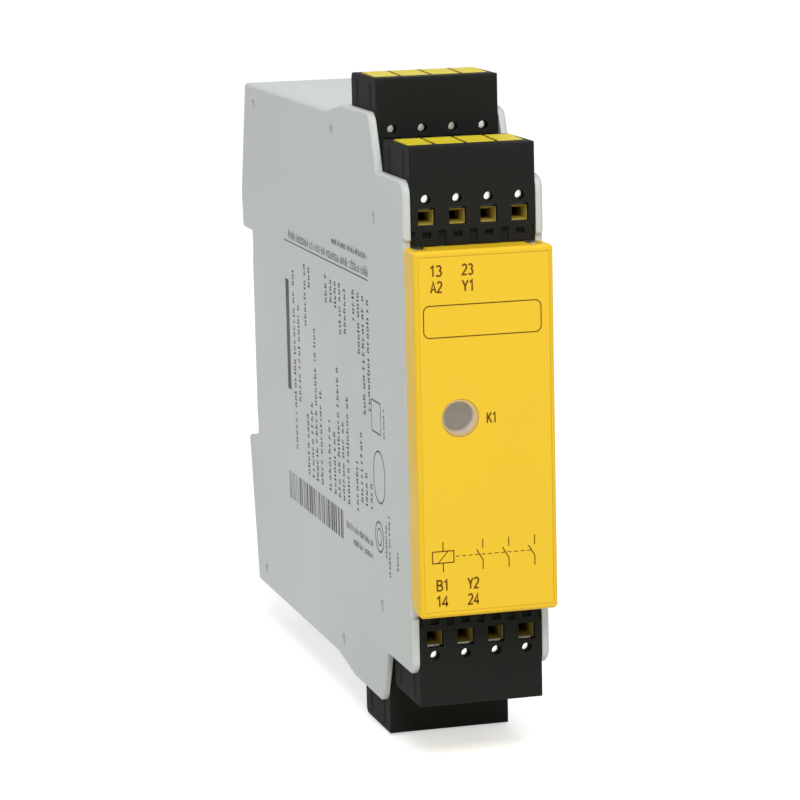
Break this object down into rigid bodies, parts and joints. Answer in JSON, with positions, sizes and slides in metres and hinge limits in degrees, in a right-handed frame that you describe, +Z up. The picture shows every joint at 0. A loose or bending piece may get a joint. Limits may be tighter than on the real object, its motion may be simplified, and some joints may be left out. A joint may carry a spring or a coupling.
{
  "type": "safety relay module",
  "caption": "Slim rail-mounted safety relay module with a framed front cover, a status window, plug-in terminal blocks above and below, and a sprung rail latch.",
  "frame": {"origin": "on the rail seat, at the middle of the rail and of the module width", "axes": "+X right across the module, +Y from the front cover to the rail, +Z up"},
  "size_m": [0.0226, 0.115, 0.1066],
  "materials": {
    "housing_grey": "fine grain, satin",
    "cover_yellow": "satin",
    "label_yellow": "satin film",
    "lens_clear": "smoky, glossy",
    "guide_clear": "clear",
    "lamp_clear": "clear",
    "board_green": "solder mask",
    "relay_black": "satin",
    "capacitor_can": "bright",
    "chip_black": "matt",
    "plug_black": "satin",
    "pusher_yellow": "satin",
    "connector_black": "matt",
    "contact_tin": "tin plated",
    "funnel_olive": "satin",
    "spring_steel": "bright",
    "latch_grey": "matt"
  },
  "bodies": {
    "housing": {"housing_body": "housing_grey", "side_cover": "housing_grey", "front_cover": "cover_yellow", "front_label": "label_yellow", "status_lens": "lens_clear", "light_guide": "guide_clear", "status_led": "lamp_clear", "front_board": "board_green", "board_link": "connector_black", "main_board": "board_green", "relay_k1": "relay_black", "relay_k2": "relay_black", "supply_capacitors": "capacitor_can", "control_chips": "chip_black", "pin_header_upper_front": "connector_black", "header_pins_upper_front": "contact_tin", "pin_header_upper_rear": "connector_black", "header_pins_upper_rear": "contact_tin", "pin_header_lower_front": "connector_black", "header_pins_lower_front": "contact_tin", "pin_header_lower_rear": "connector_black", "header_pins_lower_rear": "contact_tin", "latch_spring": "spring_steel"},
    "plug_upper_front": {"plug_upper_front": "plug_black", "plug_base_upper_front": "plug_black", "wire_funnels_upper_front": "funnel_olive", "contact_bars_upper_front": "contact_tin", "clamp_springs_upper_front": "spring_steel"},
    "pusher_upper_front_1": {"pusher_upper_front_1": "pusher_yellow"},
    "pusher_upper_front_2": {"pusher_upper_front_2": "pusher_yellow"},
    "pusher_upper_front_3": {"pusher_upper_front_3": "pusher_yellow"},
    "pusher_upper_front_4": {"pusher_upper_front_4": "pusher_yellow"},
    "plug_upper_rear": {"plug_upper_rear": "plug_black", "plug_base_upper_rear": "plug_black", "wire_funnels_upper_rear": "funnel_olive", "contact_bars_upper_rear": "contact_tin", "clamp_springs_upper_rear": "spring_steel"},
    "pusher_upper_rear_1": {"pusher_upper_rear_1": "pusher_yellow"},
    "pusher_upper_rear_2": {"pusher_upper_rear_2": "pusher_yellow"},
    "pusher_upper_rear_3": {"pusher_upper_rear_3": "pusher_yellow"},
    "pusher_upper_rear_4": {"pusher_upper_rear_4": "pusher_yellow"},
    "plug_lower_front": {"plug_lower_front": "plug_black", "plug_base_lower_front": "plug_black", "wire_funnels_lower_front": "funnel_olive", "contact_bars_lower_front": "contact_tin", "clamp_springs_lower_front": "spring_steel"},
    "pusher_lower_front_1": {"pusher_lower_front_1": "pusher_yellow"},
    "pusher_lower_front_2": {"pusher_lower_front_2": "pusher_yellow"},
    "pusher_lower_front_3": {"pusher_lower_front_3": "pusher_yellow"},
    "pusher_lower_front_4": {"pusher_lower_front_4": "pusher_yellow"},
    "plug_lower_rear": {"plug_lower_rear": "plug_black", "plug_base_lower_rear": "plug_black", "wire_funnels_lower_rear": "funnel_olive", "contact_bars_lower_rear": "contact_tin", "clamp_springs_lower_rear": "spring_steel"},
    "pusher_lower_rear_1": {"pusher_lower_rear_1": "pusher_yellow"},
    "pusher_lower_rear_2": {"pusher_lower_rear_2": "pusher_yellow"},
    "pusher_lower_rear_3": {"pusher_lower_rear_3": "pusher_yellow"},
    "pusher_lower_rear_4": {"pusher_lower_rear_4": "pusher_yellow"},
    "rail_latch": {"rail_latch": "latch_grey"}
  },
  "joints": [
    {"name": "plug_upper_front_slide", "type": "slide", "parent": "housing", "child": "plug_upper_front", "axis": [0, -1, 0], "range_m": [0, 0.015]},
    {"name": "pusher_upper_front_1_press", "type": "slide", "parent": "plug_upper_front", "child": "pusher_upper_front_1", "axis": [0, 0, -1], "range_m": [0, 0.0012], "stiffness_N_per_m": 400, "springref_m": -0.001},
    {"name": "pusher_upper_front_2_press", "type": "slide", "parent": "plug_upper_front", "child": "pusher_upper_front_2", "axis": [0, 0, -1], "range_m": [0, 0.0012], "stiffness_N_per_m": 400, "springref_m": -0.001},
    {"name": "pusher_upper_front_3_press", "type": "slide", "parent": "plug_upper_front", "child": "pusher_upper_front_3", "axis": [0, 0, -1], "range_m": [0, 0.0012], "stiffness_N_per_m": 400, "springref_m": -0.001},
    {"name": "pusher_upper_front_4_press", "type": "slide", "parent": "plug_upper_front", "child": "pusher_upper_front_4", "axis": [0, 0, -1], "range_m": [0, 0.0012], "stiffness_N_per_m": 400, "springref_m": -0.001},
    {"name": "plug_upper_rear_slide", "type": "slide", "parent": "housing", "child": "plug_upper_rear", "axis": [0, -1, 0], "range_m": [0, 0.0034]},
    {"name": "pusher_upper_rear_1_press", "type": "slide", "parent": "plug_upper_rear", "child": "pusher_upper_rear_1", "axis": [0, 0, -1], "range_m": [0, 0.0012], "stiffness_N_per_m": 400, "springref_m": -0.001},
    {"name": "pusher_upper_rear_2_press", "type": "slide", "parent": "plug_upper_rear", "child": "pusher_upper_rear_2", "axis": [0, 0, -1], "range_m": [0, 0.0012], "stiffness_N_per_m": 400, "springref_m": -0.001},
    {"name": "pusher_upper_rear_3_press", "type": "slide", "parent": "plug_upper_rear", "child": "pusher_upper_rear_3", "axis": [0, 0, -1], "range_m": [0, 0.0012], "stiffness_N_per_m": 400, "springref_m": -0.001},
    {"name": "pusher_upper_rear_4_press", "type": "slide", "parent": "plug_upper_rear", "child": "pusher_upper_rear_4", "axis": [0, 0, -1], "range_m": [0, 0.0012], "stiffness_N_per_m": 400, "springref_m": -0.001},
    {"name": "plug_lower_front_slide", "type": "slide", "parent": "housing", "child": "plug_lower_front", "axis": [0, -1, 0], "range_m": [0, 0.015]},
    {"name": "pusher_lower_front_1_press", "type": "slide", "parent": "plug_lower_front", "child": "pusher_lower_front_1", "axis": [0, 0, 1], "range_m": [0, 0.0012], "stiffness_N_per_m": 400, "springref_m": -0.001},
    {"name": "pusher_lower_front_2_press", "type": "slide", "parent": "plug_lower_front", "child": "pusher_lower_front_2", "axis": [0, 0, 1], "range_m": [0, 0.0012], "stiffness_N_per_m": 400, "springref_m": -0.001},
    {"name": "pusher_lower_front_3_press", "type": "slide", "parent": "plug_lower_front", "child": "pusher_lower_front_3", "axis": [0, 0, 1], "range_m": [0, 0.0012], "stiffness_N_per_m": 400, "springref_m": -0.001},
    {"name": "pusher_lower_front_4_press", "type": "slide", "parent": "plug_lower_front", "child": "pusher_lower_front_4", "axis": [0, 0, 1], "range_m": [0, 0.0012], "stiffness_N_per_m": 400, "springref_m": -0.001},
    {"name": "plug_lower_rear_slide", "type": "slide", "parent": "housing", "child": "plug_lower_rear", "axis": [0, -1, 0], "range_m": [0, 0.0034]},
    {"name": "pusher_lower_rear_1_press", "type": "slide", "parent": "plug_lower_rear", "child": "pusher_lower_rear_1", "axis": [0, 0, 1], "range_m": [0, 0.0012], "stiffness_N_per_m": 400, "springref_m": -0.001},
    {"name": "pusher_lower_rear_2_press", "type": "slide", "parent": "plug_lower_rear", "child": "pusher_lower_rear_2", "axis": [0, 0, 1], "range_m": [0, 0.0012], "stiffness_N_per_m": 400, "springref_m": -0.001},
    {"name": "pusher_lower_rear_3_press", "type": "slide", "parent": "plug_lower_rear", "child": "pusher_lower_rear_3", "axis": [0, 0, 1], "range_m": [0, 0.0012], "stiffness_N_per_m": 400, "springref_m": -0.001},
    {"name": "pusher_lower_rear_4_press", "type": "slide", "parent": "plug_lower_rear", "child": "pusher_lower_rear_4", "axis": [0, 0, 1], "range_m": [0, 0.0012], "stiffness_N_per_m": 400, "springref_m": -0.001},
    {"name": "rail_latch_slide", "type": "slide", "parent": "housing", "child": "rail_latch", "axis": [0, 0, -1], "range_m": [0, 0.003], "stiffness_N_per_m": 600, "springref_m": -0.003, "deforming": ["latch_spring"]}
  ]
}
